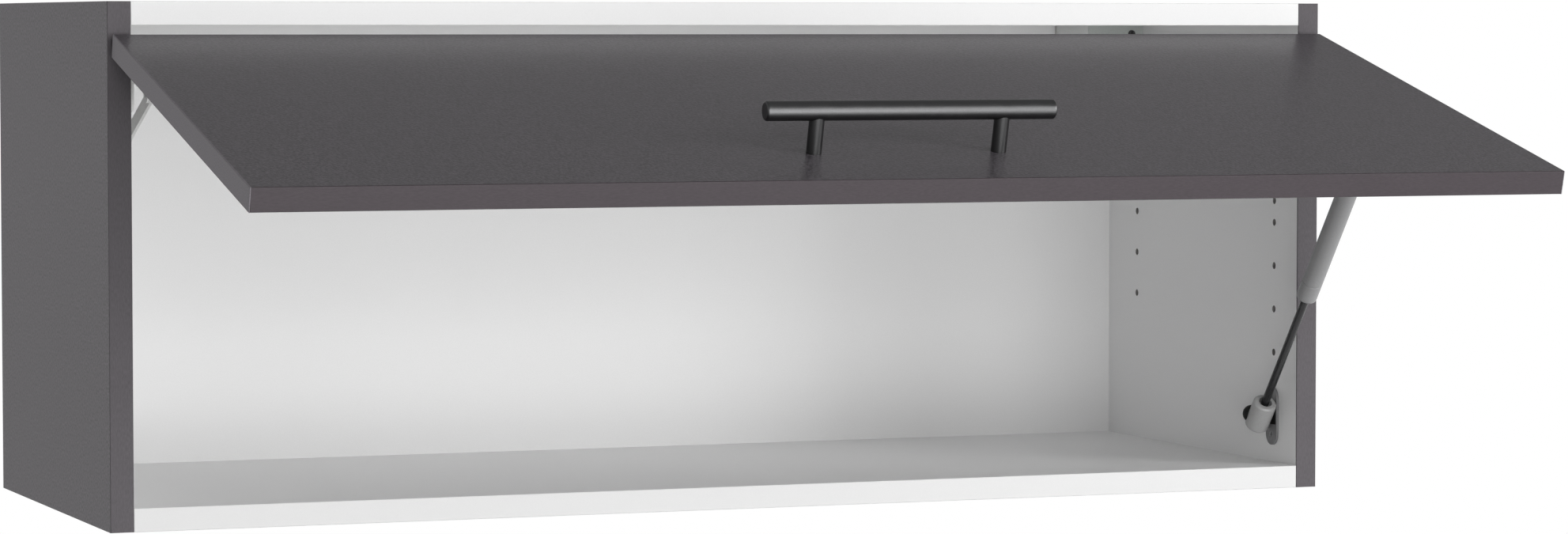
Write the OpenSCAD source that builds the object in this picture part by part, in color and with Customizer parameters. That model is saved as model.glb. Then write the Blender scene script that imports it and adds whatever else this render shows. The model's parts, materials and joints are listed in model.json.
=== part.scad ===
// Lift up wall cabinet, drawn with its flap open.
// +Z is up, the front faces -Y. The origin lies on the wall plane, at the middle of the
// cabinet's width, level with its underside.

/* [Carcass] */
// Width over the side panels
carcass_w = 900; // [600:10:1200]
// Height over the side panels
carcass_h = 354; // [340:2:420]
// Depth from the wall plane to the front edges
carcass_d = 340; // [310:5:420]
// Thickness of the carcass boards
board_t = 16; // [15:1:19]
// Thickness of the edge bands on the boards
band_t = 0.8; // [0.4:0.1:2]
// Thickness of the back panel
back_t = 3; // [2.5:0.5:5]
// Space between the back panel and the wall
back_inset = 14; // [10:1:20]
// Depth of the groove that holds the back panel
groove_depth = 6; // [4:0.5:8]
// Distance that the back panel enters its groove
back_tongue = 5.5; // [3:0.5:5.5]

/* [Shelf pin holes] */
// Diameter of a shelf pin hole
pin_hole_d = 5; // [3:0.5:8]
// Depth of a shelf pin hole
pin_hole_depth = 11; // [8:0.5:13]
// Distance between two holes of a row
pin_pitch = 32; // [25:1:32]
// Height of the lowest hole above the underside
pin_first_z = 97; // [80:1:110]
// Distance from the front edge to the front row
pin_front = 37; // [28:1:50]
// Distance between the front row and the rear row
pin_row_gap = 235; // [180:1:235]

/* [Board joints] */
// Diameter of the wooden dowels
dowel_d = 8; // [5:0.5:10]
// Length of the wooden dowels
dowel_len = 30; // [26:1:32]
// Depth of a dowel hole in the side panel
dowel_side_depth = 11; // [9:0.5:12]
// Distance from the front edge to the front dowel
dowel_front = 84; // [70:1:100]
// Distance between the front dowel and the rear dowel
dowel_gap = 150; // [120:5:180]
// Diameter of the cam housings
cam_d = 15; // [12:0.5:18]
// Height of the cam housings
cam_h = 12.5; // [11:0.5:13]
// Distance from the side panel to the axis of a cam
cam_reach = 34; // [24:1:44]
// Distance from the front edge to the front cam
cam_front = 50; // [40:1:60]
// Distance between the front cam and the rear cam
cam_gap = 215; // [190:5:230]
// Diameter of the connecting bolts
bolt_d = 6; // [5:0.5:7]
// Depth that a connecting bolt is screwed into the side panel
bolt_side_depth = 11; // [8:0.5:12]

/* [Flap] */
// Distance that the shut flap reaches below the cabinet's underside
flap_overhang = 10; // [0:1:20]
// Thickness of the flap
flap_t = 16; // [15:1:22]
// Gap between each end of the flap and the cabinet's outer side
flap_side_gap = 2; // [1:0.5:4]
// Gap between the shut flap and the carcass
flap_face_gap = 2; // [1.5:0.1:3]
// Distance from the cabinet's top down to the shut flap's upper edge
flap_top_gap = 3; // [2:0.5:4]
// Turn of the flap between shut and open
open_angle = 75.5; // [60:0.5:80]
// Diameter of the door bumpers
bumper_d = 9; // [6:0.5:12]
// Thickness of the door bumpers
bumper_t = 1.6; // [0.8:0.1:1.7]
// Distance from the end of the flap to a bumper
bumper_inset = 60; // [50:5:120]

/* [Handle] */
// Distance between the two posts
handle_spacing = 128; // [96:1:192]
// Length of the bar
handle_len = 200; // [180:1:300]
// Diameter of the bar
handle_bar_d = 13; // [8:0.5:16]
// Diameter of the posts
handle_post_d = 10; // [7:0.5:10]
// Height of the bar's axis above the flap
handle_height = 28; // [24:0.5:40]
// Distance from the flap's free edge to the posts
handle_inset = 61; // [40:1:90]
// Diameter of the spigot that joins a post to the bar
handle_spigot_d = 5; // [3:0.5:6]
// Rounding of the bar's ends
handle_round = 1.5; // [0.5:0.1:3]
// Diameter of the screws in the posts
handle_screw_d = 4; // [3:0.5:5]
// Depth that a screw enters its post
handle_screw_grip = 12; // [8:1:14]

/* [Flap hinges] */
// Thickness of the hinge's side plate
plate_t = 2; // [1.5:0.1:3]
// Thickness of the front link, the flap tab and the rear link
link_t = 2.2; // [1.5:0.1:2.6]
// Free space between two hinge layers
layer_gap = 0.4; // [0.3:0.05:0.8]
// Half the width of the links
link_r = 5; // [4.5:0.1:5.5]
// Radius of the hinge pins
pin_r = 2.5; // [2:0.1:3]
// Radius of the pin at the flap's end of the rear link
free_pin_r = 2; // [1.6:0.1:2]
// Running clearance round a hinge pin
pin_clear = 0.05; // [0.03:0.01:0.09]
// Clearance round the pin at the flap's end of the rear link
free_clear = 1.1; // [1:0.05:1.2]
// Radius of the pin heads
pin_head_r = 3.8; // [3.4:0.1:4]
// Height of the pin heads
pin_head_h = 1.2; // [0.8:0.1:1.6]
// Length of the front link between its pins
front_link_len = 26.7; // [26:0.1:27.5]
// Direction of the front link when the flap is shut, from the back up
front_link_shut = 92.7; // [91:0.1:94]
// Turn of the front link between shut and open
front_link_turn = 86; // [84:0.5:88]
// Length of the rear link between its pins
rear_link_len = 74.6; // [73:0.1:77]
// Distance from the flap's upper edge to the front link's pin
front_pin_t = 20; // [20:0.1:21]
// Distance from the flap's outer face to the front link's pin
front_pin_n = 22.75; // [22.5:0.05:23.5]
// Distance from the flap's upper edge to the rear link's pin
rear_pin_t = 21.5; // [21:0.1:22.5]
// Distance from the flap's outer face to the rear link's pin
rear_pin_n = 35.7; // [35:0.1:36.5]
// Diameter of the wood screws
wood_screw_d = 3.5; // [3:0.1:4]
// Diameter of the wood screws' heads
wood_screw_head_d = 7; // [6:0.1:7.5]
// Length of the wood screws in the side panels and the flap
wood_screw_len = 13; // [10:0.5:13.5]

/* [Gas strut] */
// Distance from the front edge to the lower pin
strut_low_y = 37; // [34:0.5:42]
// Height of the lower pin above the underside
strut_low_z = 50; // [46:0.5:56]
// Distance from the right side panel to the strut's axis
strut_off = 11; // [11:0.5:14]
// Height of the upper pin above the cabinet's middle when the flap is shut
strut_high_up = 38.4; // [36:0.2:42]
// Distance from the flap's outer face to the upper pin
strut_high_n = 42; // [40:0.5:46]
// Diameter of the tube
tube_d = 15; // [13:0.5:17]
// Wall of the tube
tube_wall = 1.2; // [0.8:0.1:1.5]
// Diameter of the rod
rod_d = 6; // [5:0.5:8]
// Diameter of the lower socket
socket_d = 17.6; // [15:0.1:17.6]
// Length of the lower socket above its pin
socket_up = 14; // [13:0.5:16]
// Length of the lower socket below its pin
socket_down = 10; // [8:0.5:10.5]
// Space left between the lower socket and the shut strut's tube
strut_shut_gap = 3; // [2:0.5:6]
// Length of the guide cap that shows below the tube
guide_len = 16; // [12:1:20]
// Diameter of the strut's pins
strut_pin_d = 6; // [5:0.5:7]
// Diameter of the round button that locks the lower socket on its pin
strut_button_d = 13; // [11:0.5:13.5]
// Length of the side bracket
bracket_len = 43; // [40:1:48]
// Width of the side bracket
bracket_w = 17; // [16:0.5:18]
// Thickness of the strut's brackets
bracket_t = 1.8; // [1.5:0.1:1.8]
// Distance between the side bracket's screws
bracket_screw_gap = 28; // [27:0.5:30]

/* [Cabinet hangers] */
// Width of a hanger
hanger_w = 47; // [40:1:52]
// Height of a hanger
hanger_h = 59; // [50:1:59]
// Distance from the hanger's front to the wall plane
hanger_reach = 77; // [66:1:90]
// Distance that the hanger's rear stands in from the back panel's rear
hanger_rear_in = 1; // [0:0.5:3]
// Wall of the hanger's housing
hanger_wall = 2.5; // [2:0.1:3]
// Thickness of the hanger's hook
hook_t = 3; // [2:0.5:4]
// Height of the hook's body
hook_h = 24; // [20:1:26]
// Diameter of the hanger's adjusting screws
adjust_d = 6; // [5:0.5:7]

/* [Hidden] */
$fn = 48;

// Hair's breadth that keeps a screw, dowel or panel clear of its own hole
ease = 0.05;
inner_x = carcass_w / 2 - board_t;
inner_top = carcass_h - board_t;
// Distances from the front edge: face of the back panel, and its rear
back_face = carcass_d - back_inset - back_t;
back_rear = carcass_d - back_inset;

// Shelf pin holes: the front row has four, with one more half a pitch above them
front_row = [for (i = [0:3]) pin_first_z + i * pin_pitch];
rear_row = [for (i = [1:3]) pin_first_z + i * pin_pitch];
spare_pin_z = pin_first_z + 3.5 * pin_pitch;
pin_rows = [[pin_front, concat(front_row, [spare_pin_z])], [pin_front + pin_row_gap, rear_row]];

// Board joints: radii of a bolt's thread, neck and head, then how far before the cam's axis
// its neck starts, its head starts and its tip ends
bolt_thread_r = bolt_d / 2 - 0.5;
bolt_neck_r = bolt_d / 2 - 1.2;
bolt_head_r = bolt_d / 2 - 0.2;
bolt_neck_start = 10;
bolt_head_start = 3;
bolt_tip = 1;
cam_rim = 2.2;
dowel_rows = [dowel_front, dowel_front + dowel_gap];
cam_rows = [cam_front, cam_front + cam_gap];
dowel_start = inner_x + dowel_side_depth - dowel_len;

// Hinge. Points are [distance behind the front edge, height].
shut_outer_y = -flap_face_gap - flap_t;
shut_top_z = carcass_h - flap_top_gap;
flap_half = carcass_w / 2 - flap_side_gap;
flap_len = shut_top_z + flap_overhang;
function shut_point(t, n) = [shut_outer_y + n, shut_top_z - t];
function turned(v, a) = [v[0] * cos(a) - v[1] * sin(a), v[0] * sin(a) + v[1] * cos(a)];
function dir(a) = [cos(a), sin(a)];
// Angle that turns the +Z axis about +X until it points along v
function tilt_of(v) = atan2(-v[0], v[1]);
front_pin_shut = shut_point(front_pin_t, front_pin_n);
front_pivot = front_pin_shut - front_link_len * dir(front_link_shut);
front_pin_open = front_pivot + front_link_len * dir(front_link_shut + front_link_turn);
function open_point(t, n) =
    front_pin_open + turned(shut_point(t, n) - front_pin_shut, -open_angle);
rear_pin_shut = shut_point(rear_pin_t, rear_pin_n);
rear_pin_open = open_point(rear_pin_t, rear_pin_n);
// The rear pivot is as far from the rear pin when the flap is shut as when it is open
rear_chord = rear_pin_open - rear_pin_shut;
rear_half = norm(rear_chord) / 2;
rear_rise = sqrt(rear_link_len * rear_link_len - rear_half * rear_half);
rear_pivot = (rear_pin_shut + rear_pin_open) / 2
    + [-rear_chord[1], rear_chord[0]] / (2 * rear_half) * rear_rise;

// Hinge layers, from the side panel inwards: plate, front link, tab, rear link
plate_x = inner_x - plate_t;
front_link_x = plate_x - layer_gap - link_t;
tab_x = front_link_x - layer_gap - link_t;
rear_link_x = tab_x - layer_gap - link_t;
hinge_in_x = rear_link_x - layer_gap / 2 - pin_head_h;
// Tab: its base on the flap, the low web that stiffens it and the ear round its rear pin
tab_base_w = 26;
tab_base_t = 1.8;
tab_base_top = front_pin_t - 4;
tab_base_low = 58;
tab_web_h = 3.5;
tab_r = link_r + 0.5;
// Screws in the tab's base: how far out from the tab, and how far down the flap
tab_screw_out = 17;
tab_screw_first = 26;
tab_screw_gap = 22;
tab_screws = [for (t = [tab_screw_first, tab_screw_first + tab_screw_gap]) [tab_x - tab_screw_out, t]];
// Outline of the side plate, round the front pivot and from there to the rear pivot
plate_front = 1;
plate_rear = 42;
plate_below = 24;
plate_above = 17;
plate_margin = 8;
plate_neck = 18;
plate_round = 5;
// Screws in the side plate: two placed from the front pivot, the third from the rear pivot
plate_screw_a_back = 28;
plate_screw_a_up = 6;
plate_screw_b_back = 14;
plate_screw_b_down = 14;
plate_screw_c_front = 10;
plate_screw_c_up = 7;
plate_screws = [
    front_pivot + [plate_screw_a_back, plate_screw_a_up],
    front_pivot + [plate_screw_b_back, -plate_screw_b_down],
    rear_pivot + [-plate_screw_c_front, plate_screw_c_up],
];

// Gas strut, along its own axis from the lower pin
strut_x = inner_x - strut_off;
strut_low = [strut_low_y, strut_low_z];
// Distance from the flap's upper edge to the upper pin
strut_high_t = shut_top_z - carcass_h / 2 - strut_high_up;
strut_high_open = open_point(strut_high_t, strut_high_n);
strut_high_shut = shut_point(strut_high_t, strut_high_n);
strut_len = norm(strut_high_open - strut_low);
strut_stroke = strut_len - norm(strut_high_shut - strut_low);
tube_start = socket_up + strut_shut_gap + strut_stroke;
guide_plug = 8;
guide_ring = tube_start + guide_len;
seal_h = 3;
seal_z = guide_ring + guide_plug + 0.2;
piston_h = 7;
piston_z = seal_z + seal_h + 0.3;
upper_socket_down = 9.5;
tube_end = strut_len - upper_socket_down;
tube_r = tube_d / 2;
bore_r = tube_r - tube_wall;
rod_r = rod_d / 2;
rod_foot = strut_pin_d / 2 + 3;
upper_socket_r = tube_r - 1;
upper_socket_up = 8;

// Strut brackets: the lower pin's square foot sits in a window of the side bracket
bracket_x = inner_x - bracket_t;
pin_foot_w = bracket_w - 3;
pin_foot_h = 12.4;
pin_foot_out = 0.2;
socket_r = socket_d / 2;
// How deep the lower pin reaches into the socket, past the strut's axis
strut_pin_in = 4.5;
// Middle of the lock button, from the pin: [x, behind the strut's axis, along the axis]
button_at = [-3.5, 6.3, -3.3];
// Free space between the tube and the flap bracket's arm
arm_gap = 0.6;
arm_x = strut_x - tube_r - arm_gap - bracket_t;
arm_w = 16;
flap_bracket_half = 24;
flap_bracket_w = 22;
flap_screw_off = 16;

// Handle: its place below the flap's upper edge, and where a spigot starts below the bar's axis
handle_t = flap_len - handle_inset;
bar_r = handle_bar_d / 2;
spigot_start = 1;
handle_screw_head_h = 2.4;

// Hangers
hanger_front = carcass_d - hanger_reach;
hanger_rear = back_rear - hanger_rear_in;
hanger_low = inner_top - hanger_h;
hanger_in_x = inner_x - hanger_w;
// Adjusting screws: distance from the side panel, of the upper one from the top panel, and
// of the lower one from the hanger's underside
adjust_in = 9.5;
adjust_below = 6.5;
lock_up = 14;
adjust_x = inner_x - adjust_in;
adjust_z = inner_top - adjust_below;
lock_z = hanger_low + lock_up;
hanger_peg_r = 5;
hanger_peg_len = 10;
// Distance from the hanger's front to its first peg, and from there to the second
hanger_peg_in = 18;
hanger_peg_gap = 26;
hanger_peg_rows = [hanger_front + hanger_peg_in, hanger_front + hanger_peg_in + hanger_peg_gap];
hanger_screw_len = 24;
hook_low = hanger_low + hanger_h / 2 - hook_h / 2;
hook_x = hanger_in_x + hanger_w / 2 - hook_t / 2;
// The hook's arm starts inside the housing and its tip turns down close to the wall
hook_in = 30;
hook_start = hanger_front + hook_in;
hook_end = carcass_d - 1;
hook_tip_t = 3.5;
hook_bridge_h = 7;
foot_in = 4;
foot_len = 16;
foot_h = 10;

// ---- Helpers ----

// Children measured back from the cabinet's front edges
module from_front() translate([0, -carcass_d, 0]) children();

// Children for the right, or mirrored for the left
module on_side(side) {
    if (side < 0) mirror([1, 0, 0]) children();
    else children();
}

// Children in the flap: +Y from the outer face inwards, -Z from the upper edge down
module in_flap() from_front()
    translate([0, front_pin_open[0], front_pin_open[1]]) rotate([-open_angle, 0, 0])
        translate([0, -front_pin_n, front_pin_t]) children();

// Children along a line from one point towards another, which becomes their +Z axis
module along(from, to) from_front()
    translate([0, from[0], from[1]]) rotate([tilt_of(to - from), 0, 0]) children();

// Children along the strut's axis, from its lower pin
module in_strut() along(strut_low, strut_high_open) translate([strut_x, 0, 0]) children();

// Box from one corner to another
module box(a, b) translate(a) cube(b - a);

// Cylinder along X between two places
module x_rod(x0, x1, r, y = 0, z = 0)
    translate([x0, y, z]) rotate([0, 90, 0]) cylinder(h = x1 - x0, r = r);

// Plate across X with round corners
module round_plate(x0, x1, y0, y1, z0, z1, r) {
    box([x0, y0 + r, z0], [x1, y1 - r, z1]);
    box([x0, y0, z0 + r], [x1, y1, z1 - r]);
    for (y = [y0 + r, y1 - r], z = [z0 + r, z1 - r]) x_rod(x0, x1, r, y, z);
}

// Plate across Y with round corners
module round_plate_y(y0, y1, x0, x1, z0, z1, r) {
    box([x0 + r, y0, z0], [x1 - r, y1, z1]);
    box([x0, y0, z0 + r], [x1, y1, z1 - r]);
    for (x = [x0 + r, x1 - r], z = [z0 + r, z1 - r])
        translate([x, y0, z]) rotate([-90, 0, 0]) cylinder(h = y1 - y0, r = r);
}

// Countersunk screw: its head's face is at z = 0 and its shank runs down
module wood_screw(len = wood_screw_len, d = wood_screw_d, head_d = wood_screw_head_d) {
    head_h = (head_d - d) / 2;
    difference() {
        union() {
            translate([0, 0, -len]) cylinder(h = len - head_h, r = d / 2);
            translate([0, 0, -head_h]) cylinder(h = head_h, r1 = d / 2, r2 = head_d / 2);
        }
        cross_slot(head_d * 0.55, 1.3);
    }
}

// Cross recess in a screw's head
module cross_slot(span, depth) for (a = [0, 90])
    rotate([0, 0, a]) translate([-span / 2, -span / 10, -depth]) cube([span, span / 5, depth + 1]);

// The hole that a countersunk screw passes through, with a pilot of the same depth
module wood_screw_hole(len = wood_screw_len, d = wood_screw_d, head_d = wood_screw_head_d) {
    head_h = (head_d - d) / 2;
    translate([0, 0, -len - 1]) cylinder(h = len + 1.5, r = d / 2 + ease);
    translate([0, 0, -head_h]) cylinder(h = head_h, r1 = d / 2 + ease, r2 = head_d / 2 + ease);
    cylinder(h = 1, r = head_d / 2 + ease);
}

// Screw places: heads that face into the cabinet, and heads that face away from the flap
module facing_in(x, y, z) translate([x, y, z]) rotate([0, -90, 0]) children();
module facing_back(x, y, z) translate([x, y, z]) rotate([-90, 0, 0]) children();

// ---- Carcass ----

module dowel_places() for (y = dowel_rows, z = [board_t / 2, carcass_h - board_t / 2])
    translate([0, y, z]) children();

// Children at each cam bolt's entry, +Z from the board's outer face inwards
module cam_places() for (y = cam_rows, up = [0, 1])
    translate([inner_x, y, up * carcass_h]) mirror([0, 0, up]) children();

module pin_holes() for (row = pin_rows, z = row[1])
    x_rod(inner_x - 1, inner_x + pin_hole_depth, pin_hole_d / 2, row[0], z);

module side_board(has_strut) difference() {
    box([inner_x, band_t, 0], [carcass_w / 2, carcass_d, carcass_h]);
    pin_holes();
    box([inner_x - 1, back_face - ease, -1], [inner_x + groove_depth, back_rear + ease, carcass_h + 1]);
    dowel_places() x_rod(inner_x - 1, inner_x + dowel_side_depth, dowel_d / 2 + ease);
    cam_places() x_rod(-1, bolt_side_depth + 0.5, bolt_thread_r + ease, 0, board_t / 2);
    hanger_pegs(ease);
    for (p = plate_screws) facing_in(plate_x, p[0], p[1]) wood_screw_hole();
    if (has_strut) strut_side_places() wood_screw_hole();
}

module side_panel_left() color([0.40, 0.39, 0.40]) from_front() on_side(-1) side_board(false);
module side_panel_right() color([0.40, 0.39, 0.40]) from_front() side_board(true);

// The lower board; the upper one is its mirror image
module level_board() difference() {
    box([-inner_x, band_t, 0], [inner_x, carcass_d, board_t]);
    box([-inner_x - 1, back_face - ease, board_t - groove_depth],
        [inner_x + 1, back_rear + ease, board_t + 1]);
    for (side = [-1, 1]) on_side(side) {
        for (y = dowel_rows)
            x_rod(dowel_start - 1, inner_x + 1, dowel_d / 2 + ease, y, board_t / 2);
        for (y = cam_rows) {
            x_rod(inner_x - cam_reach, inner_x + 1, bolt_d / 2 + 0.5, y, board_t / 2);
            translate([inner_x - cam_reach, y, -1]) cylinder(h = cam_h + 1 + ease, r = cam_d / 2 + ease);
        }
    }
}

module bottom_panel() color("white") from_front() level_board();
module top_panel() color("white") from_front() translate([0, 0, carcass_h]) mirror([0, 0, 1]) level_board();

module back_panel() color("white") from_front() difference() {
    box([-inner_x - back_tongue, back_face, board_t - back_tongue],
        [inner_x + back_tongue, back_rear, inner_top + back_tongue]);
    for (side = [-1, 1]) on_side(side)
        box([hanger_in_x - 0.5, back_face - 1, hanger_low - 0.5], [carcass_w, back_rear + 1, carcass_h]);
}

module edge_band_left() color([0.38, 0.37, 0.38]) from_front() on_side(-1) side_band();
module edge_band_right() color([0.38, 0.37, 0.38]) from_front() side_band();
module side_band() box([inner_x, 0, 0], [carcass_w / 2, band_t, carcass_h]);
module edge_band_bottom() color("white") from_front() box([-inner_x, 0, 0], [inner_x, band_t, board_t]);
module edge_band_top() color("white") from_front()
    box([-inner_x, 0, inner_top], [inner_x, band_t, carcass_h]);

module carcass_dowels() color("burlywood") from_front() for (side = [-1, 1]) on_side(side)
    dowel_places() x_rod(dowel_start, inner_x + dowel_side_depth - 0.5, dowel_d / 2);

// A bolt screwed into the side panel, with a waist and a head that its cam grips
module cam_bolts() color("silver") from_front() for (side = [-1, 1]) on_side(side) cam_places()
    translate([0, 0, board_t / 2]) {
        x_rod(0, bolt_side_depth, bolt_thread_r);
        x_rod(-cam_reach + bolt_neck_start, 0, bolt_d / 2);
        x_rod(-cam_reach + bolt_head_start, -cam_reach + bolt_neck_start, bolt_neck_r);
        x_rod(-cam_reach + bolt_tip, -cam_reach + bolt_head_start, bolt_head_r);
    }

// A cam disc with a slot for the bolt and a cross recess in its face
module cam_locks() color("silver") from_front() for (side = [-1, 1]) on_side(side) cam_places()
    translate([-cam_reach, 0, 0]) difference() {
        cylinder(h = cam_h, r = cam_d / 2);
        box([0, -bolt_d / 2 + 1, board_t / 2 - bolt_d / 2 + 1], [cam_d, bolt_d / 2 - 1, cam_h + 1]);
        box([0, -bolt_d / 2, board_t / 2 - bolt_d / 2], [cam_d / 2 - cam_rim, bolt_d / 2, cam_h + 1]);
        mirror([0, 0, 1]) cross_slot(cam_d * 0.47, 2.5);
    }

// ---- Hangers ----

// Two round pegs hold the housing in the side panel
module hanger_pegs(grow = 0) for (y = hanger_peg_rows)
    x_rod(inner_x - 0.2, inner_x + hanger_peg_len + grow, hanger_peg_r + grow, y, hanger_low + hanger_h / 2);

module hanger_housing() {
    difference() {
        box([hanger_in_x, hanger_front, hanger_low], [inner_x, hanger_rear, inner_top]);
        box([hanger_in_x + hanger_wall, hanger_front + hanger_wall, hanger_low + hanger_wall],
            [inner_x - hanger_wall, hanger_rear + 1, inner_top - hanger_wall]);
        for (z = [adjust_z, lock_z]) facing_back(adjust_x, hanger_front - 1, z)
            cylinder(h = hanger_wall + 2, r = adjust_d / 2 + 0.1);
    }
    hanger_pegs();
}

module hanger_housing_left() color([0.62, 0.64, 0.62]) from_front() on_side(-1) hanger_housing();
module hanger_housing_right() color([0.62, 0.64, 0.62]) from_front() hanger_housing();

// The upper screw sets the height, the lower one draws the cabinet to the wall
module hanger_screws() for (z = [adjust_z, lock_z])
    translate([adjust_x, hanger_front - 0.5, z]) rotate([90, 0, 0]) difference() {
        translate([0, 0, -hanger_screw_len]) cylinder(h = hanger_screw_len, r = adjust_d / 2);
        cross_slot(adjust_d * 0.7, 1.8);
    }

module hanger_screws_left() color([0.3, 0.3, 0.3]) from_front() on_side(-1) hanger_screws();
module hanger_screws_right() color([0.3, 0.3, 0.3]) from_front() hanger_screws();

// A flat steel arm that leaves the housing and turns down behind the back panel
module hanger_hook() {
    hook_top = hook_low + hook_h;
    inside_wall = inner_x - hanger_wall - 0.2;
    translate([hook_x, 0, 0]) {
        box([0, hook_start, hook_low], [hook_t, back_rear + 1, hook_top]);
        box([0, back_rear, hook_top - hook_bridge_h], [hook_t, hook_end, hook_top]);
        box([0, hook_end - hook_tip_t, hook_low], [hook_t, hook_end, hook_top]);
    }
    // Foot that slides on the housing's wall
    box([hook_x + hook_t - 0.5, hook_start + foot_in, hook_low + foot_in],
        [inside_wall, hook_start + foot_in + foot_len, hook_low + foot_in + foot_h]);
}

module hanger_hook_left() color("silver") from_front() on_side(-1) hanger_hook();
module hanger_hook_right() color("silver") from_front() hanger_hook();

// ---- Flap hinges ----

module hinge_plate() difference() {
    union() {
        round_plate(plate_x, inner_x, plate_front, plate_rear,
            front_pivot[1] - plate_below, front_pivot[1] + plate_above, plate_round);
        round_plate(plate_x, inner_x, rear_pivot[0] - plate_neck, rear_pivot[0] + plate_margin,
            rear_pivot[1] - plate_margin, front_pivot[1] - 4, plate_round);
    }
    for (p = plate_screws) facing_in(plate_x, p[0], p[1]) wood_screw_hole();
    for (p = [front_pivot, rear_pivot]) x_rod(plate_x - 1, inner_x + 1, pin_r, p[0], p[1]);
}

module hinge_plate_left() color("silver") from_front() on_side(-1) hinge_plate();
module hinge_plate_right() color("silver") from_front() hinge_plate();

// The front pin's head lies in the tab's layer; the rear pin carries a spacer
module hinge_fixed_pins() {
    x_rod(front_link_x - layer_gap / 2, inner_x, pin_r, front_pivot[0], front_pivot[1]);
    x_rod(front_link_x - layer_gap / 2 - pin_head_h, front_link_x - layer_gap / 2, pin_head_r,
        front_pivot[0], front_pivot[1]);
    x_rod(rear_link_x - layer_gap / 2, inner_x, pin_r, rear_pivot[0], rear_pivot[1]);
    x_rod(rear_link_x + link_t + layer_gap / 2, plate_x, pin_head_r, rear_pivot[0], rear_pivot[1]);
    x_rod(hinge_in_x, rear_link_x - layer_gap / 2, pin_head_r, rear_pivot[0], rear_pivot[1]);
}

module hinge_fixed_pins_left() color([0.7, 0.7, 0.72]) from_front() on_side(-1) hinge_fixed_pins();
module hinge_fixed_pins_right() color([0.7, 0.7, 0.72]) from_front() hinge_fixed_pins();

module hinge_plate_screws() color("silver") from_front() for (side = [-1, 1], p = plate_screws)
    on_side(side) facing_in(plate_x, p[0], p[1]) wood_screw();

// Flat link with round ends and a hole at each end
module link(len, far_hole_r) difference() {
    union() {
        x_rod(0, link_t, link_r);
        x_rod(0, link_t, link_r, 0, len);
        box([0, -link_r, 0], [link_t, link_r, len]);
    }
    x_rod(-1, link_t + 1, pin_r + pin_clear);
    x_rod(-1, link_t + 1, far_hole_r, 0, len);
}

module front_link() along(front_pivot, front_pin_open) translate([front_link_x, 0, 0])
    link(front_link_len, pin_r + pin_clear);
module rear_link() along(rear_pivot, rear_pin_open) translate([rear_link_x, 0, 0])
    link(rear_link_len, free_pin_r + free_clear);
module front_link_left() color("silver") on_side(-1) front_link();
module front_link_right() color("silver") front_link();
module rear_link_left() color("silver") on_side(-1) rear_link();
module rear_link_right() color("silver") rear_link();

// ---- Flap ----

module flap_panel() color([0.37, 0.36, 0.37]) in_flap() difference() {
    box([-flap_half + band_t, 0, -flap_len + band_t], [flap_half - band_t, flap_t, -band_t]);
    for (side = [-1, 1]) {
        handle_screw_place(side) {
            translate([0, 0, -flap_t - 1]) cylinder(h = flap_t + 2, r = handle_screw_d / 2 + 0.25);
            translate([0, 0, -handle_screw_head_h - 0.2]) cylinder(h = 4, r = handle_screw_d + 0.5);
        }
        on_side(side) for (p = tab_screws) tab_screw_place(p) wood_screw_hole();
    }
    for (z = [-1, 1]) strut_flap_place(z) wood_screw_hole();
}

module flap_band_hinge_edge() color([0.38, 0.35, 0.37]) in_flap()
    box([-flap_half + band_t, 0, -band_t], [flap_half - band_t, flap_t, 0]);
module flap_band_free_edge() color([0.38, 0.35, 0.37]) in_flap()
    box([-flap_half + band_t, 0, -flap_len], [flap_half - band_t, flap_t, -flap_len + band_t]);
module flap_end_band() box([flap_half - band_t, 0, -flap_len], [flap_half, flap_t, 0]);
module flap_band_left() color([0.38, 0.35, 0.37]) in_flap() on_side(-1) flap_end_band();
module flap_band_right() color([0.38, 0.35, 0.37]) in_flap() flap_end_band();

// Two clear pads that meet the lower board when the flap is shut
module flap_bumpers() color([0.85, 0.87, 0.88]) in_flap() for (side = [-1, 1]) on_side(side)
    facing_back(flap_half - bumper_inset, flap_t, -(shut_top_z - board_t / 2)) {
        cylinder(h = bumper_t * 0.5, r = bumper_d / 2);
        translate([0, 0, bumper_t * 0.5])
            cylinder(h = bumper_t * 0.5, r1 = bumper_d / 2, r2 = bumper_d / 2 - 0.6);
    }

// ---- Handle ----

// Children at a post, measured from the bar's axis towards the flap along +Z
module handle_post_place(side)
    translate([side * handle_spacing / 2, -handle_height, -handle_t]) rotate([-90, 0, 0]) children();

// A round bar whose two ends are rounded off, with a blind hole over each post
module handle_bar() color([0.16, 0.16, 0.17]) in_flap() difference() {
    translate([-handle_len / 2, -handle_height, -handle_t]) rotate([0, 90, 0])
        rotate_extrude() polygon(concat([[0, 0]], end_arc(0), end_arc(1), [[0, handle_len]]));
    for (side = [-1, 1]) handle_post_place(side) translate([0, 0, spigot_start])
        cylinder(h = bar_r, r = handle_spigot_d / 2 + ease);
}

// Quarter circle at the near end (0) or the far end (1) of the bar, as [radius, length]
function end_arc(far) = [for (i = [0:4])
    let (a = (far ? i : 4 - i) * 22.5)
    [bar_r - handle_round + handle_round * cos(a),
     far ? handle_len - handle_round + handle_round * sin(a) : handle_round - handle_round * sin(a)]];

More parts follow.
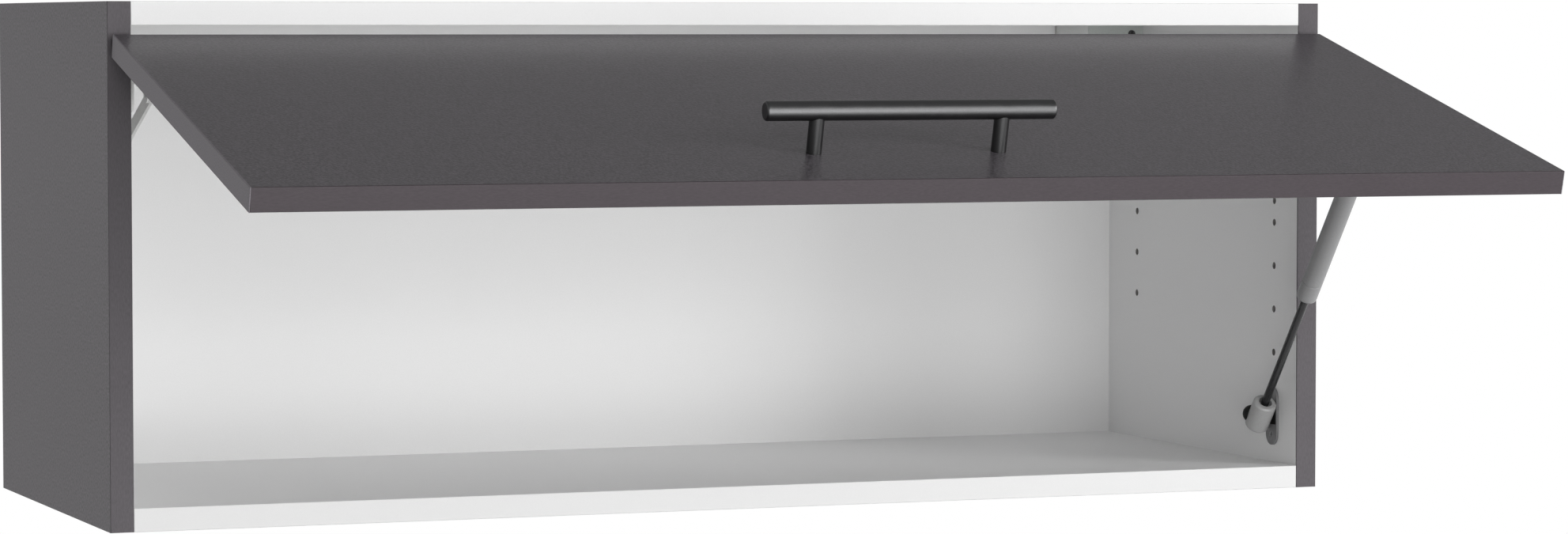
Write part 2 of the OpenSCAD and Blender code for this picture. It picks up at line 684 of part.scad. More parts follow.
// A post that is hollowed at its top to seat the bar, with a spigot, and bored for its screw
module handle_post(side) color([0.16, 0.16, 0.17]) in_flap() difference() {
    union() {
        difference() {
            handle_post_place(side) cylinder(h = handle_height, r = handle_post_d / 2);
            x_rod(-handle_len, handle_len, bar_r, -handle_height, -handle_t);
        }
        handle_post_place(side) translate([0, 0, spigot_start + ease])
            cylinder(h = bar_r, r = handle_spigot_d / 2);
    }
    handle_post_place(side) translate([0, 0, handle_height - handle_screw_grip - 1])
        cylinder(h = handle_screw_grip + 2, r = handle_screw_d / 2 + ease);
}

module handle_post_left() handle_post(-1);
module handle_post_right() handle_post(1);

module handle_screw_place(side) facing_back(side * handle_spacing / 2, flap_t, -handle_t) children();

module handle_screws() color("silver") in_flap() for (side = [-1, 1]) handle_screw_place(side)
difference() {
    union() {
        translate([0, 0, -flap_t - handle_screw_grip])
            cylinder(h = flap_t + handle_screw_grip - 1, r = handle_screw_d / 2);
        translate([0, 0, -handle_screw_head_h]) cylinder(h = handle_screw_head_h, r = handle_screw_d);
    }
    cross_slot(handle_screw_d * 1.1, 1.6);
}

// ---- Hinge tabs on the flap ----

module tab_screw_place(p) facing_back(p[0], flap_t + tab_base_t, -p[1]) children();

// A base on the flap's inner face with an upright tab for the two pins
module hinge_tab() difference() {
    union() {
        round_plate_y(flap_t, flap_t + tab_base_t, tab_x + link_t - tab_base_w, tab_x + link_t,
            -tab_base_low, -tab_base_top, 3);
        box([tab_x, flap_t, -tab_base_low + 4], [tab_x + link_t, flap_t + tab_web_h, -tab_base_top]);
        box([tab_x, flap_t, -rear_pin_t - tab_r], [tab_x + link_t, rear_pin_n, -rear_pin_t + tab_r]);
        x_rod(tab_x, tab_x + link_t, tab_r, rear_pin_n, -rear_pin_t);
    }
    x_rod(tab_x - 1, tab_x + link_t + 1, pin_r, front_pin_n, -front_pin_t);
    x_rod(tab_x - 1, tab_x + link_t + 1, free_pin_r, rear_pin_n, -rear_pin_t);
    for (p = tab_screws) tab_screw_place(p) wood_screw_hole();
}

module hinge_tab_left() color("silver") in_flap() on_side(-1) hinge_tab();
module hinge_tab_right() color("silver") in_flap() hinge_tab();

module hinge_tab_pins() {
    x_rod(tab_x, plate_x - layer_gap / 2, pin_r, front_pin_n, -front_pin_t);
    x_rod(tab_x - pin_head_h, tab_x, pin_head_r, front_pin_n, -front_pin_t);
    x_rod(rear_link_x - layer_gap / 2, tab_x + link_t, free_pin_r, rear_pin_n, -rear_pin_t);
    x_rod(hinge_in_x, rear_link_x - layer_gap / 2, pin_head_r, rear_pin_n, -rear_pin_t);
}

module hinge_tab_pins_left() color([0.7, 0.7, 0.72]) in_flap() on_side(-1) hinge_tab_pins();
module hinge_tab_pins_right() color([0.7, 0.7, 0.72]) in_flap() hinge_tab_pins();

module hinge_tab_screws() color("silver") in_flap() for (side = [-1, 1], p = tab_screws)
    on_side(side) tab_screw_place(p) wood_screw();

// ---- Gas strut ----

module strut_side_places() for (s = [-1, 1])
    facing_in(bracket_x, strut_low_y, strut_low_z + s * bracket_screw_gap / 2) children();

// A stadium plate with a window and the strut's pin
module strut_side_bracket() color([0.35, 0.35, 0.36]) from_front() difference() {
    round_plate(bracket_x, inner_x, strut_low_y - bracket_w / 2, strut_low_y + bracket_w / 2,
        strut_low_z - bracket_len / 2, strut_low_z + bracket_len / 2, bracket_w / 2 - 0.01);
    strut_side_places() wood_screw_hole();
    strut_pin_foot(ease);
}

module strut_pin_foot(grow = 0) translate([0, strut_low_y, strut_low_z])
    box([bracket_x - pin_foot_out - grow, -pin_foot_w / 2 - grow, -pin_foot_h / 2 - grow],
        [inner_x + grow, pin_foot_w / 2 + grow, pin_foot_h / 2 + grow]);

module strut_side_screws() color([0.35, 0.35, 0.36]) from_front() strut_side_places() wood_screw();

module strut_lower_pin() color([0.08, 0.08, 0.08]) from_front() {
    strut_pin_foot();
    x_rod(strut_x - strut_pin_in, bracket_x, strut_pin_d / 2, strut_low_y, strut_low_z);
}

// Round button behind the lower socket, which locks it on its pin
module strut_lock_button() color([0.05, 0.05, 0.05]) in_strut() difference() {
    translate(button_at) sphere(d = strut_button_d);
    cylinder(h = 4 * strut_button_d, r = socket_r + 2 * ease, center = true);
}

// Profile of a socket that is rounded at both ends, as [radius, place along the axis]
function rounded_ends(r, low, high, round) = concat([[0, low]],
    [for (i = [0:4]) [r - round + round * sin(i * 22.5), low + round - round * cos(i * 22.5)]],
    [for (i = [0:4]) [r - round + round * cos(i * 22.5), high - round + round * sin(i * 22.5)]],
    [[0, high]]);

module strut_lower_socket() color([0.55, 0.55, 0.56]) in_strut() difference() {
    rotate_extrude() polygon(rounded_ends(socket_r, -socket_down, socket_up, 2));
    x_rod(-strut_pin_in - pin_clear, socket_r + 1, strut_pin_d / 2 + pin_clear);
    translate([0, 0, rod_foot]) cylinder(h = socket_up, r = rod_r + ease);
    translate([0, 0, socket_up - 4]) cylinder(h = 5, r = rod_r + 2);
}

module strut_rod() color([0.1, 0.1, 0.1]) in_strut()
    translate([0, 0, rod_foot]) cylinder(h = piston_z + piston_h - 1 - rod_foot, r = rod_r);

module strut_piston() color("silver") in_strut() difference() {
    translate([0, 0, piston_z]) cylinder(h = piston_h, r = bore_r - 0.1);
    translate([0, 0, piston_z - 1]) cylinder(h = piston_h, r = rod_r + ease);
    translate([0, 0, piston_z + 2]) difference() {
        cylinder(h = 2, r = bore_r + 1);
        translate([0, 0, -1]) cylinder(h = 4, r = bore_r - 1);
    }
}

module strut_tube() color([0.55, 0.55, 0.56]) in_strut() difference() {
    translate([0, 0, guide_ring]) cylinder(h = tube_end - guide_ring, r = tube_r);
    translate([0, 0, guide_ring - 1]) cylinder(h = tube_end - guide_ring - 0.5, r = bore_r);
}

// The guide shows below the tube and has a spigot inside it
module strut_guide_cap() color([0.55, 0.55, 0.56]) in_strut() difference() {
    union() {
        rotate_extrude() polygon(concat([[0, tube_start]],
            [for (i = [0:4]) [tube_r - 2.5 + 2.5 * sin(i * 22.5), tube_start + 2.5 - 2.5 * cos(i * 22.5)]],
            [[tube_r, guide_ring - 0.5], [tube_r - 0.5, guide_ring], [0, guide_ring]]));
        translate([0, 0, guide_ring - 1]) cylinder(h = guide_plug + 1, r = bore_r - ease);
    }
    translate([0, 0, tube_start - 1]) cylinder(h = guide_len + guide_plug + 2, r = rod_r + 0.1);
}

module strut_seal() color([0.1, 0.1, 0.1]) in_strut() translate([0, 0, seal_z]) difference() {
    cylinder(h = seal_h, r = bore_r - ease);
    translate([0, 0, -1]) cylinder(h = seal_h + 2, r = rod_r + 0.05);
}

module strut_upper_socket() color([0.55, 0.55, 0.56]) in_strut() difference() {
    rotate_extrude() polygon(rounded_ends(upper_socket_r, tube_end, strut_len + upper_socket_up, 1.5));
    x_rod(-upper_socket_r - 1, upper_socket_r - 2.5, strut_pin_d / 2, 0, strut_len);
}

// The upper pin rides in the socket and ends just short of the flap bracket's arm
module strut_upper_pin() color([0.7, 0.7, 0.72]) in_strut()
    x_rod(-tube_r - arm_gap / 2, upper_socket_r - 2.5, strut_pin_d / 2, 0, strut_len);

module strut_flap_place(s)
    facing_back(arm_x - (flap_bracket_w - bracket_t) / 2, flap_t + bracket_t,
        -strut_high_t + s * flap_screw_off) children();

// A foot on the flap's inner face with an arm that reaches the strut's upper pin
module strut_flap_bracket() color([0.35, 0.35, 0.36]) in_flap() difference() {
    union() {
        round_plate_y(flap_t, flap_t + bracket_t, arm_x - flap_bracket_w + bracket_t, arm_x + bracket_t,
            -strut_high_t - flap_bracket_half, -strut_high_t + flap_bracket_half, 4);
        box([arm_x, flap_t, -strut_high_t - arm_w / 2],
            [arm_x + bracket_t, strut_high_n, -strut_high_t + arm_w / 2]);
        x_rod(arm_x, arm_x + bracket_t, arm_w / 2, strut_high_n, -strut_high_t);
    }
    for (s = [-1, 1]) strut_flap_place(s) wood_screw_hole();
}

module strut_flap_screws() color([0.35, 0.35, 0.36]) in_flap() for (s = [-1, 1])
    strut_flap_place(s) wood_screw();

side_panel_left();
side_panel_right();
top_panel();
bottom_panel();
back_panel();
edge_band_left();
edge_band_right();
edge_band_top();
edge_band_bottom();
carcass_dowels();
cam_bolts();
cam_locks();
hanger_housing_left();
hanger_housing_right();
hanger_screws_left();
hanger_screws_right();
hanger_hook_left();
hanger_hook_right();
hinge_plate_left();
hinge_plate_right();
hinge_fixed_pins_left();
hinge_fixed_pins_right();
hinge_plate_screws();
front_link_left();
front_link_right();
rear_link_left();
rear_link_right();
flap_panel();
flap_band_hinge_edge();
flap_band_free_edge();
flap_band_left();
flap_band_right();
flap_bumpers();
handle_bar();
handle_post_left();
handle_post_right();
handle_screws();
hinge_tab_left();
hinge_tab_right();
hinge_tab_pins_left();
hinge_tab_pins_right();
hinge_tab_screws();
strut_side_bracket();
strut_side_screws();
strut_lower_pin();
strut_lock_button();
strut_lower_socket();
strut_rod();
strut_piston();
strut_tube();
strut_guide_cap();
strut_seal();
strut_upper_socket();
strut_upper_pin();
strut_flap_bracket();
strut_flap_screws();
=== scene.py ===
"""Looks of the lift up wall cabinet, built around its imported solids."""
import json
import math

import bmesh
import bpy
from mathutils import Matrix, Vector


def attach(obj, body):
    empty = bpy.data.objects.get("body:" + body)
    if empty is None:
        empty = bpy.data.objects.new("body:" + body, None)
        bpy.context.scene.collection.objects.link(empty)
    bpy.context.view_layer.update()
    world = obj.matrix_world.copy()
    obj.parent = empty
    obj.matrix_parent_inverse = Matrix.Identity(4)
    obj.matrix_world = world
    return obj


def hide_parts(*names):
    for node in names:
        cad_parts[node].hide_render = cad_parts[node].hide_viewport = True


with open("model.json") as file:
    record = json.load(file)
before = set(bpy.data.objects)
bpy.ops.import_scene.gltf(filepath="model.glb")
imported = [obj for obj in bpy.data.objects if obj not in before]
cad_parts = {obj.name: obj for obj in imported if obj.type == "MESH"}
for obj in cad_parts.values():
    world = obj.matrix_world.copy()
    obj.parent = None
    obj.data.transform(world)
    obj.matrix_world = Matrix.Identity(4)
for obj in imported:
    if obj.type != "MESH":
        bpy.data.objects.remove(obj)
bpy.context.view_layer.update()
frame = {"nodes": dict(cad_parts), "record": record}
nodes = frame["nodes"]
bodies = frame["record"]["behaviour"]["bodies"]
body_of = {node: body for body, names in bodies.items() for node in names}
slot_of = {part["node"]: part["material_slot"] for part in frame["record"]["subparts"]}

MM = 0.001
SIDES = {"left": -1, "right": 1}
UP = Vector((0, 0, 1))
FRONT = Vector((0, -1, 0))
RIGHT = Vector((1, 0, 0))

# ---------------------------------------------------------------- camera

# Fitted to the photograph with the cabinet's own edges: metres, radians, and millimetres of lens
CAMERA_PLACE = Vector((-1.18313, -3.46650, 0.33611))
CAMERA_YAW = -0.3705
CAMERA_PITCH = -0.0498
LENS = 110.0
SENSOR = 36.0
CLIP_NEAR = 0.05
CLIP_FAR = 60


def add_camera():
    data = bpy.data.cameras.new("camera")
    data.lens = LENS
    data.sensor_width = SENSOR
    data.sensor_fit = "HORIZONTAL"
    data.clip_start = CLIP_NEAR
    data.clip_end = CLIP_FAR
    camera = bpy.data.objects.new("camera", data)
    camera.location = CAMERA_PLACE
    camera.rotation_euler = (math.pi / 2 + CAMERA_PITCH, 0, CAMERA_YAW)
    bpy.context.scene.collection.objects.link(camera)
    bpy.context.scene.camera = camera


# ---------------------------------------------------------------- light and stage

FLOOR_Z = -1.5
FLOOR_SIZE = 16.0
FLOOR_GREY = 0.45
FLOOR_ROUGHNESS = 0.9
# What the floor adds for the camera and for reflections, so that it shows pale there
FLOOR_GLOW = 0.78
WORLD_LIGHT = 0.355
# What reflections see: white up to SKY_LOW over the horizon, then down to grey at SKY_HIGH
SKY_GREY = 0.26
SKY_LOW = 0.05
SKY_HIGH = 0.45

LIGHT_TARGET = Vector((0, -0.2, 0.15))
# Name, place, width, height and power of each soft box, in metres and watts
LIGHTS = [
    ("front", (0, -4.6, 0.4), 3.0, 2.2, 64),
    ("front_low", (0.2, -3.8, -0.5), 2.5, 0.8, 30),
    ("front_high", (0, -4.2, 1.5), 3.0, 1.2, 15),
    ("right", (3.6, -3.2, 0.6), 2.0, 2.0, 95),
    ("right_high", (3.0, -3.6, 1.4), 1.6, 1.6, 38),
]


def area_light(name, place, width, height, power):
    data = bpy.data.lights.new(name, "AREA")
    data.shape = "RECTANGLE"
    data.size = width
    data.size_y = height
    data.energy = power
    lamp = bpy.data.objects.new(name, data)
    lamp.location = place
    lamp.rotation_euler = (LIGHT_TARGET - Vector(place)).to_track_quat("-Z", "Y").to_euler()
    bpy.context.scene.collection.objects.link(lamp)


def maximum(tree, one, other):
    node = tree.nodes.new("ShaderNodeMath")
    node.operation = "MAXIMUM"
    tree.links.new(one, node.inputs[0])
    tree.links.new(other, node.inputs[1])
    return node.outputs[0]


def ray_kinds(tree):
    """1 for camera rays, and 1 for rays that a gloss or a clear piece sends out."""
    path = tree.nodes.new("ShaderNodeLightPath")
    bounced = maximum(tree, path.outputs["Is Glossy Ray"], path.outputs["Is Transmission Ray"])
    return path.outputs["Is Camera Ray"], bounced


def background(tree, strength):
    """White background of a fixed strength, or of one that another node gives."""
    node = tree.nodes.new("ShaderNodeBackground")
    node.inputs["Color"].default_value = (1, 1, 1, 1)
    if isinstance(strength, float):
        node.inputs["Strength"].default_value = strength
    else:
        tree.links.new(strength, node.inputs["Strength"])
    return node.outputs[0]


def mixed_shader(tree, factor, one, other):
    node = tree.nodes.new("ShaderNodeMixShader")
    tree.links.new(factor, node.inputs[0])
    tree.links.new(one, node.inputs[1])
    tree.links.new(other, node.inputs[2])
    return node.outputs[0]


def add_world():
    """White for the camera, a plain level as light, and the sky for reflections."""
    world = bpy.data.worlds.new("studio")
    bpy.context.scene.world = world
    world.use_nodes = True
    tree = world.node_tree
    tree.nodes.clear()
    out = tree.nodes.new("ShaderNodeOutputWorld")
    place = tree.nodes.new("ShaderNodeTexCoord")
    axes = tree.nodes.new("ShaderNodeSeparateXYZ")
    tree.links.new(place.outputs["Generated"], axes.inputs[0])
    sky = remap(tree, axes.outputs["Z"], (SKY_LOW, SKY_HIGH), (1.0, SKY_GREY))
    seen, bounced = ray_kinds(tree)
    light = mixed_shader(tree, bounced, background(tree, WORLD_LIGHT), background(tree, sky))
    tree.links.new(mixed_shader(tree, seen, light, background(tree, 1.0)), out.inputs["Surface"])


def add_floor():
    half = FLOOR_SIZE / 2
    corners = [(-half, -half, 0), (half, -half, 0), (half, half, 0), (-half, half, 0)]
    mesh = bpy.data.meshes.new("floor")
    mesh.from_pydata(corners, [], [(0, 1, 2, 3)])
    floor = bpy.data.objects.new("floor", mesh)
    floor.location = (0, 0, FLOOR_Z)
    bpy.context.scene.collection.objects.link(floor)
    material, tree, surface = new_material("floor", grey(FLOOR_GREY), FLOOR_ROUGHNESS)
    glow = tree.nodes.new("ShaderNodeEmission")
    glow.inputs["Strength"].default_value = FLOOR_GLOW
    add = tree.nodes.new("ShaderNodeAddShader")
    tree.links.new(surface.outputs[0], add.inputs[0])
    tree.links.new(glow.outputs[0], add.inputs[1])
    seen, bounced = ray_kinds(tree)
    either = maximum(tree, seen, bounced)
    tree.links.new(mixed_shader(tree, either, surface.outputs[0], add.outputs[0]),
                   tree.nodes["Material Output"].inputs["Surface"])
    floor.data.materials.append(material)


# ---------------------------------------------------------------- texture nodes

# Ranges that a noise's values fill: nearly all of them, and the middle ones
NOISE_ALL = (0.3, 0.7)
NOISE_MIDDLE = (0.35, 0.65)
# Period of a wave texture of scale 1
WAVE_PERIOD = math.pi / 10
# Colour sockets of a Mix node
MIX_ONE, MIX_OTHER, MIX_RESULT = 6, 7, 2


def new_material(name, colour, roughness, metallic=0.0, specular=0.5):
    material = bpy.data.materials.new(name)
    material.use_nodes = True
    tree = material.node_tree
    surface = tree.nodes["Principled BSDF"]
    surface.inputs["Base Color"].default_value = (*colour, 1)
    surface.inputs["Roughness"].default_value = roughness
    surface.inputs["Metallic"].default_value = metallic
    surface.inputs["Specular IOR Level"].default_value = specular
    return material, tree, surface


def place_coordinates(tree, scale=(1, 1, 1)):
    """The object's own coordinates in metres. A scale below 1 stretches a pattern that way."""
    source = tree.nodes.new("ShaderNodeTexCoord")
    mapping = tree.nodes.new("ShaderNodeMapping")
    mapping.inputs["Scale"].default_value = scale
    tree.links.new(source.outputs["Object"], mapping.inputs["Vector"])
    return mapping.outputs[0]


def noise(tree, size, detail=2.0, scale=(1, 1, 1), roughness=0.5):
    """Noise with spots of about that size in millimetres, from 0 to 1."""
    node = tree.nodes.new("ShaderNodeTexNoise")
    node.inputs["Scale"].default_value = 1 / (size * MM)
    node.inputs["Detail"].default_value = detail
    node.inputs["Roughness"].default_value = roughness
    tree.links.new(place_coordinates(tree, scale), node.inputs["Vector"])
    return node.outputs["Fac"]


def chips(tree, size, scale):
    """Wood chips: a random colour for each, and how far from its middle a point is."""
    node = tree.nodes.new("ShaderNodeTexVoronoi")
    node.inputs["Scale"].default_value = 1 / (size * MM)
    tree.links.new(place_coordinates(tree, scale), node.inputs["Vector"])
    return node.outputs["Color"], node.outputs["Distance"]


def wave(tree, axis, pitch):
    """Even waves across an axis, with that pitch in millimetres."""
    node = tree.nodes.new("ShaderNodeTexWave")
    node.wave_type = "BANDS"
    node.bands_direction = axis
    node.inputs["Scale"].default_value = WAVE_PERIOD / (pitch * MM)
    node.inputs["Distortion"].default_value = 0.0
    tree.links.new(place_coordinates(tree), node.inputs["Vector"])
    return node.outputs["Fac"]


def remap(tree, value, source, target):
    """Takes the source range to the target range, and holds values at its ends."""
    node = tree.nodes.new("ShaderNodeMapRange")
    node.inputs["From Min"].default_value, node.inputs["From Max"].default_value = source
    node.inputs["To Min"].default_value, node.inputs["To Max"].default_value = target
    tree.links.new(value, node.inputs["Value"])
    return node.outputs[0]


def mixed(tree, factor, one, other):
    """Colour between two colours, each a tuple or another node's output."""
    node = tree.nodes.new("ShaderNodeMix")
    node.data_type = "RGBA"
    tree.links.new(factor, node.inputs["Factor"])
    for socket, colour in ((node.inputs[MIX_ONE], one), (node.inputs[MIX_OTHER], other)):
        if isinstance(colour, tuple):
            socket.default_value = (*colour, 1)
        else:
            tree.links.new(colour, socket)
    return node.outputs[MIX_RESULT]


def bump(tree, surface, height, depth, before=None):
    """Relief of that depth in millimetres, over the one that went before."""
    node = tree.nodes.new("ShaderNodeBump")
    node.inputs["Distance"].default_value = depth * MM
    node.inputs["Strength"].default_value = 1.0
    tree.links.new(height, node.inputs["Height"])
    if before is not None:
        tree.links.new(before, node.inputs["Normal"])
    tree.links.new(node.outputs[0], surface.inputs["Normal"])
    return node.outputs[0]


def grey(value):
    return (value, value, value)


def scaled(colour, factor):
    return tuple(min(1.0, c * factor) for c in colour)


def shade(tree, surface, pattern, source, colour, share):
    """Lets a pattern darken and lighten the surface's colour by that share."""
    factor = remap(tree, pattern, source, (0, 1))
    tree.links.new(mixed(tree, factor, scaled(colour, 1 - share), scaled(colour, 1 + share)),
                   surface.inputs["Base Color"])


def vary_roughness(tree, surface, pattern, low, high):
    tree.links.new(remap(tree, pattern, NOISE_ALL, (low, high)), surface.inputs["Roughness"])


# ---------------------------------------------------------------- materials

# All sizes and depths below are in millimetres


def melamine(name, colour, roughness, specular, speckle, pearl_size, pearl_depth, vary=0.04):
    """Melamine face with a fine pearl texture and faint speckles."""
    material, tree, surface = new_material(name, colour, roughness, specular=specular)
    pearl = noise(tree, pearl_size, detail=3.0)
    shade(tree, surface, pearl, NOISE_MIDDLE, colour, speckle)
    vary_roughness(tree, surface, pearl, roughness - vary, roughness + vary)
    bump(tree, surface, pearl, pearl_depth)
    return material


def metal(name, colour, roughness, smoother=0.06, rougher=0.08, cloud_size=6.0,
          scratch_size=1.2, scratch_depth=0.03):
    """Plated steel with faint clouds and scratches."""
    material, tree, surface = new_material(name, colour, roughness, metallic=1.0)
    clouds = noise(tree, cloud_size, detail=3.0)
    vary_roughness(tree, surface, clouds, roughness - smoother, roughness + rougher)
    bump(tree, surface, noise(tree, scratch_size, detail=3.0), scratch_depth)
    return material


def painted(name, colour, roughness, metallic=0.0, specular=0.5, grain_size=0.8,
            grain_depth=0.01, speckle=0.05, cloud_size=10.0, vary=0.03):
    """Paint or moulded plastic with a fine grain."""
    material, tree, surface = new_material(name, colour, roughness, metallic, specular)
    grain = noise(tree, grain_size)
    shade(tree, surface, grain, NOISE_ALL, colour, speckle)
    vary_roughness(tree, surface, noise(tree, cloud_size), roughness - vary, roughness + vary)
    bump(tree, surface, grain, grain_depth)
    return material


def streaked(name, colour, roughness, specular, scale, streak_size=0.8, streak_depth=0.03,
             speckle=0.12, cloud_size=30.0, vary=0.04):
    """Edge band with fine streaks along it."""
    material, tree, surface = new_material(name, colour, roughness, specular=specular)
    streaks = noise(tree, streak_size, detail=3.0, scale=scale)
    shade(tree, surface, streaks, NOISE_ALL, colour, speckle)
    vary_roughness(tree, surface, noise(tree, cloud_size), roughness - vary, roughness + vary)
    bump(tree, surface, streaks, streak_depth)
    return material


def chipboard(name, light, dark, dusty, roughness=0.85, specular=0.2, chip_size=2.6,
              chip_scale=(1, 1, 1.6), chip_depth=0.25, dust_size=0.9, dust_depth=0.15,
              dust_range=(0.45, 0.75), dust_share=0.6):
    """Raw sawn edge of a particle board: light and dark chips under dust."""
    material, tree, surface = new_material(name, light, roughness, specular=specular)
    cell, inside = chips(tree, chip_size, chip_scale)
    pick = tree.nodes.new("ShaderNodeSeparateColor")
    tree.links.new(cell, pick.inputs[0])
    chip = mixed(tree, pick.outputs[0], light, dark)
    dust = noise(tree, dust_size, detail=4.0)
    cover = remap(tree, dust, dust_range, (0, dust_share))
    tree.links.new(mixed(tree, cover, chip, dusty), surface.inputs["Base Color"])
    rough = bump(tree, surface, inside, chip_depth)
    bump(tree, surface, dust, dust_depth, before=rough)
    return material


def hardboard(name, brown, pale, roughness=0.7, specular=0.25, fibre_size=4.0,
              fibre_scale=(1, 1, 2.2), fibre_depth=0.1, fibre_range=(0.35, 0.7),
              screen_pitch=1.4, screen_depth=0.08):
    """Rear face of a hardboard: brown fibres under the print of a fine wire screen."""
    material, tree, surface = new_material(name, brown, roughness, specular=specular)
    fibres = noise(tree, fibre_size, detail=6.0, scale=fibre_scale, roughness=0.65)
    factor = remap(tree, fibres, fibre_range, (0, 1))
    tree.links.new(mixed(tree, factor, brown, pale), surface.inputs["Base Color"])
    screen = maximum(tree, wave(tree, "X", screen_pitch), wave(tree, "Z", screen_pitch))
    rough = bump(tree, surface, screen, screen_depth)
    bump(tree, surface, fibres, fibre_depth, before=rough)
    return material


def clear_plastic(name, colour, roughness=0.12, smoother=0.04, rougher=0.08,
                  transmission=0.85, ior=1.45, haze_size=2.0, haze_depth=0.02):
    """Soft clear plastic with a faint haze."""
    material, tree, surface = new_material(name, colour, roughness)
    surface.inputs["Transmission Weight"].default_value = transmission
    surface.inputs["IOR"].default_value = ior
    haze = noise(tree, haze_size)
    vary_roughness(tree, surface, haze, roughness - smoother, roughness + rougher)
    bump(tree, surface, haze, haze_depth)
    return material


# Streaks run along an edge band, four times as long as they are wide
ALONG_X = (0.25, 1, 1)
ALONG_Z = (1, 1, 0.25)

# What makes each finish, and its settings. Colours are linear
FINISHES = {
    "anthracite_board": (melamine, dict(
        colour=(0.148, 0.137, 0.150), roughness=0.55, specular=0.25, speckle=0.45,
        pearl_size=1.8, pearl_depth=0.20)),
    "flap_front": (melamine, dict(
        colour=(0.072, 0.0655, 0.073), roughness=0.34, specular=0.22, speckle=0.5,
        pearl_size=1.8, pearl_depth=0.16)),
    "white_board": (melamine, dict(
        colour=grey(0.81), roughness=0.45, specular=0.4, speckle=0.015,
        pearl_size=1.0, pearl_depth=0.04)),
    "white_hardboard": (melamine, dict(
        colour=grey(0.80), roughness=0.5, specular=0.3, speckle=0.012,
        pearl_size=0.9, pearl_depth=0.03)),
    "raw_chipboard": (chipboard, dict(
        light=(0.52, 0.36, 0.20), dark=(0.24, 0.14, 0.07), dusty=(0.60, 0.46, 0.29))),
    "raw_hardboard": (hardboard, dict(brown=(0.21, 0.125, 0.065), pale=(0.32, 0.21, 0.12))),
    "board_bore": (painted, dict(
        colour=(0.34, 0.33, 0.32), roughness=0.9, specular=0.1,
        grain_size=1.2, grain_depth=0.08)),
    "anthracite_edge": (streaked, dict(
        colour=(0.092, 0.085, 0.092), roughness=0.6, specular=0.12, scale=ALONG_Z)),
    "white_edge": (melamine, dict(
        colour=grey(0.70), roughness=0.5, specular=0.2, speckle=0.012,
        pearl_size=0.6, pearl_depth=0.03)),
    # Darker copy of white_edge for the bottom band: painted shade, not a different band
    "white_edge_low": (melamine, dict(
        colour=grey(0.61), roughness=0.5, specular=0.2, speckle=0.012,
        pearl_size=0.6, pearl_depth=0.03)),
    "flap_edge": (streaked, dict(
        colour=(0.039, 0.031, 0.036), roughness=0.42, specular=0.3, scale=ALONG_X)),
    # Lighter copy of the flap's edge colour for its two end bands: painted light
    "flap_edge_side": (melamine, dict(
        colour=(0.215, 0.200, 0.218), roughness=0.55, specular=0.2, speckle=0.14,
        pearl_size=1.0, pearl_depth=0.05)),
    "beech": (painted, dict(colour=(0.6, 0.44, 0.26), roughness=0.7)),
    "zinc": (metal, dict(colour=(0.62, 0.63, 0.64), roughness=0.34)),
    "hinge_white": (painted, dict(
        colour=(0.78, 0.78, 0.77), roughness=0.35, grain_size=1.5, grain_depth=0.015)),
    "pin_steel": (metal, dict(colour=(0.55, 0.56, 0.58), roughness=0.25)),
    "grey_plastic": (painted, dict(colour=(0.50, 0.53, 0.51), roughness=0.5)),
    # Lighter copy of grey_plastic for the hanger's side faces: painted light
    "pale_plastic": (painted, dict(colour=(0.74, 0.75, 0.74), roughness=0.45)),
    "dark_screw": (painted, dict(colour=grey(0.05), roughness=0.4)),
    "strut_grey": (painted, dict(colour=(0.22, 0.22, 0.223), roughness=0.40)),
    "socket_grey": (painted, dict(colour=grey(0.34), roughness=0.30)),
    "strut_black": (painted, dict(colour=grey(0.008), roughness=0.5, specular=0.15)),
    "rod_black": (painted, dict(
        colour=(0.012, 0.012, 0.013), roughness=0.22, specular=0.35,
        grain_size=4.0, grain_depth=0.002)),
    "seal_rubber": (painted, dict(colour=grey(0.03), roughness=0.7)),
    "bracket_dark": (painted, dict(colour=(0.17, 0.17, 0.175), roughness=0.4)),
    "handle_black": (painted, dict(
        colour=(0.105, 0.105, 0.107), roughness=0.36, metallic=0.97)),
    # Darker copy of handle_black for the posts: painted shade
    "handle_post_black": (painted, dict(
        colour=(0.058, 0.058, 0.059), roughness=0.36, metallic=0.97)),
    "clear_pad": (clear_plastic, dict(colour=(0.86, 0.88, 0.90))),
}

# ---------------------------------------------------------------- pieces

# Points nearer than WELD are one, and faces that meet within FLAT too. Edges over SHARP are
# rounded, and a point within NEAR of a plane lies on it
WELD = 0.001 * MM
FLAT = math.radians(1.0)
SHARP = math.radians(32.0)
NEAR = 0.02 * MM
ROUND_PROFILE = 0.5

# At rest the flap stands open: along it from its hinge edge, and out of its outer face
OPEN_TILT = math.radians(75.5)
FLAP_DOWN = Vector((0, -math.sin(OPEN_TILT), -math.cos(OPEN_TILT)))
FLAP_OUT = Vector((0, -math.cos(OPEN_TILT), math.sin(OPEN_TILT)))


def sharp_edges(solid):
    return [edge for edge in solid.edges if edge.is_manifold and edge.calc_face_angle() > SHARP]


def on_end(solid, direction):
    """Tells whether an edge or a face lies on the solid's furthest plane in that direction."""
    limit = max(vertex.co.dot(direction) for vertex in solid.verts) - NEAR
    return lambda item: all(vertex.co.dot(direction) > limit for vertex in item.verts)


